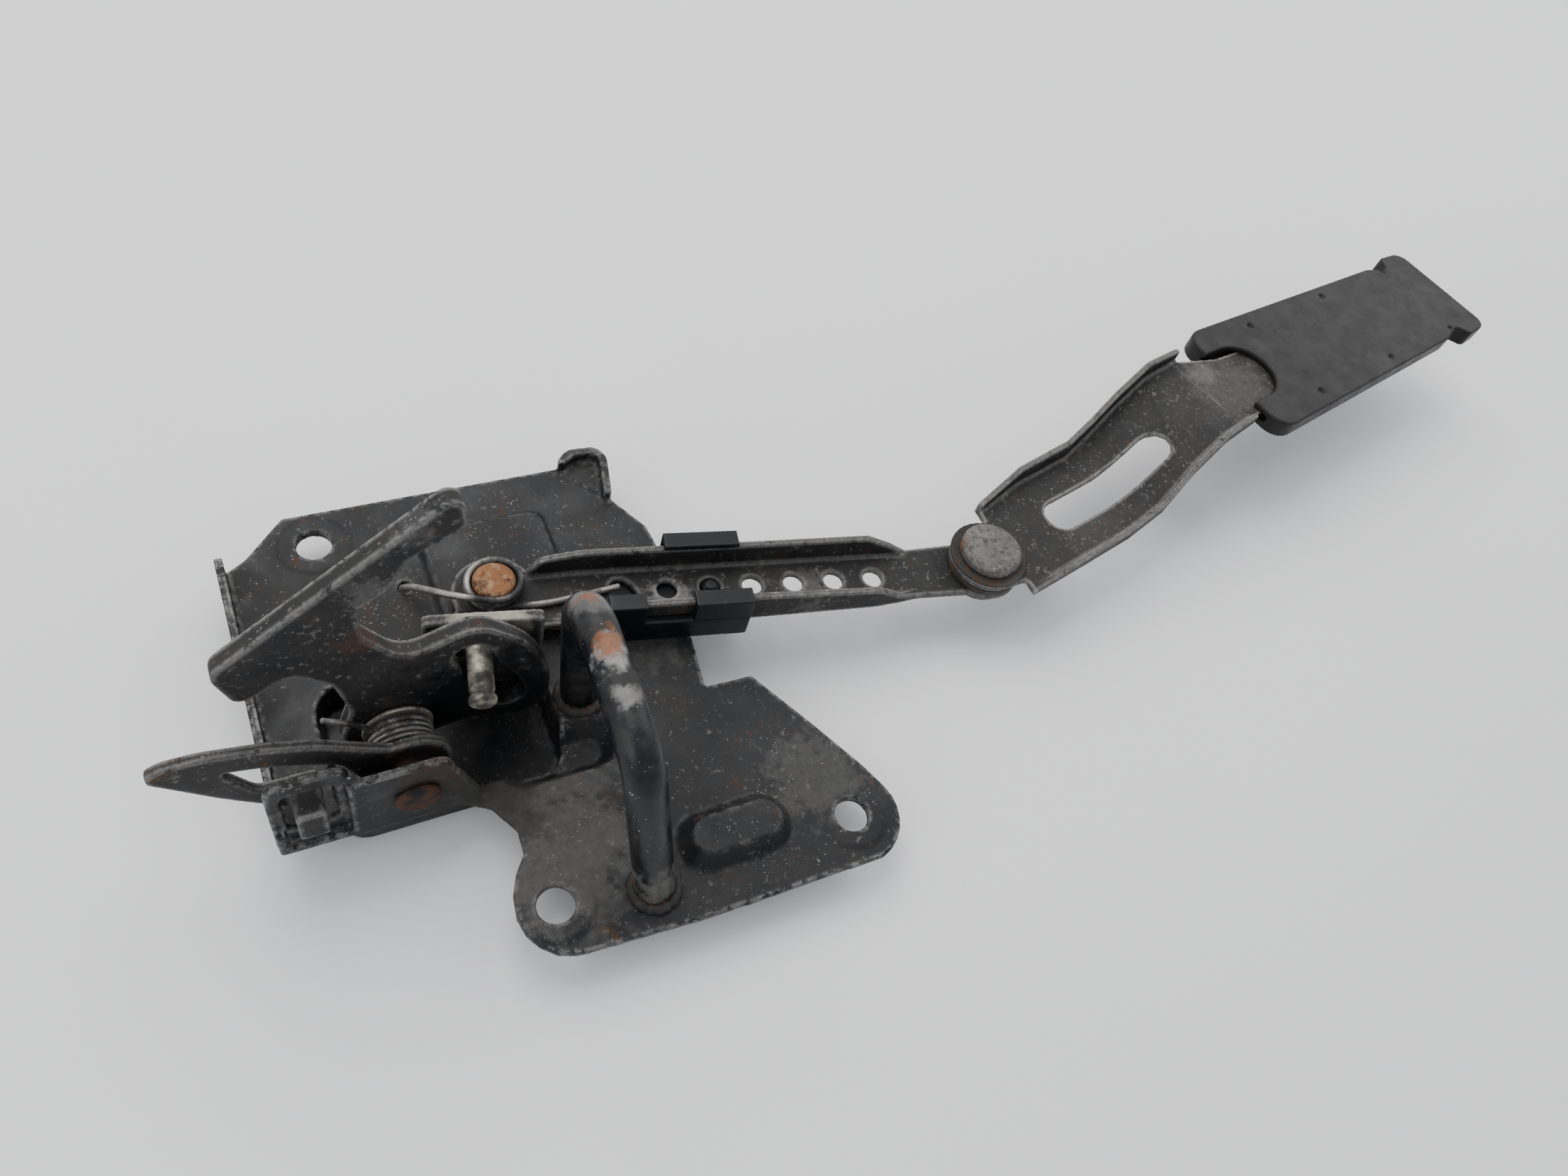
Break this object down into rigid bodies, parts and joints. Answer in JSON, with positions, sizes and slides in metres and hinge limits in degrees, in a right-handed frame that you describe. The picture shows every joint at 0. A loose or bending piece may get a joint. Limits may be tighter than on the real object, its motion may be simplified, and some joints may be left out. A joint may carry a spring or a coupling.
{
  "type": "bonnet striker plate with safety hook",
  "caption": "Car bonnet striker plate: a round-bar bow for the latch, a sprung safety hook on a pivot pin, and a perforated pull strap ending in a hinged flat release handle.",
  "frame": {"origin": "seat point on the flat underside of the plate, where it rests on the bonnet, 20 mm from the upper left bolt hole", "axes": "+Z is the plate normal, out of the face that carries the striker bow; +X runs along the plate's top edge towards the handle; +Y points away from the lip"},
  "size_m": [0.4795, 0.1517, 0.1004],
  "materials": {
    "plate_paint": "worn satin black with dust",
    "bow_paint": "worn satin black with bare and rusty patches",
    "hook_paint": "worn satin black, bare edges",
    "rusty_steel": "matt orange-brown rust",
    "zinc_steel": "dull zinc plating",
    "spring_wire": "drawn steel wire",
    "clip_plastic": "moulded, slightly glossy",
    "grip_plastic": "moulded, satin"
  },
  "bodies": {
    "plate": {"base_plate": "plate_paint", "striker_bow": "bow_paint", "hook_pivot_pin": "rusty_steel", "pin_washer": "zinc_steel", "spring_sleeve": "zinc_steel", "hook_spring": "spring_wire", "guide_horn": "plate_paint", "strap_rivet": "rusty_steel", "strap_washer": "zinc_steel", "strap_spring": "spring_wire"},
    "hook": {"safety_hook": "hook_paint", "hook_bush": "zinc_steel"},
    "strap": {"pull_strap": "plate_paint", "drive_pin": "zinc_steel", "guide_shoe": "clip_plastic", "handle_rivet": "zinc_steel", "handle_spacer": "zinc_steel", "handle_top_washer": "zinc_steel"},
    "handle": {"handle_link": "plate_paint", "handle_grip": "grip_plastic"}
  },
  "joints": [
    {"name": "strap_swing", "type": "hinge", "parent": "plate", "child": "strap", "pos_m": [0.0394, -0.0098, 0.0055], "axis": [0, 0, 1], "range_deg": [0, 6], "stiffness_Nm_per_rad": 1.5, "springref_deg": -20.05},
    {"name": "hook_swing", "type": "hinge", "parent": "plate", "child": "hook", "pos_m": [0.0065, -0.042, 0.013], "axis": [0, 1, 0], "range_deg": [0, 18], "stiffness_Nm_per_rad": 0.3, "springref_deg": -22.92},
    {"name": "handle_fold", "type": "hinge", "parent": "strap", "child": "handle", "pos_m": [0.17987, -0.03915, 0.01], "axis": [0, 0, 1], "range_deg": [-30, 30]}
  ],
  "couplings": [
    {"joint": "hook_swing", "follows": "strap_swing", "ratio": 3}
  ]
}
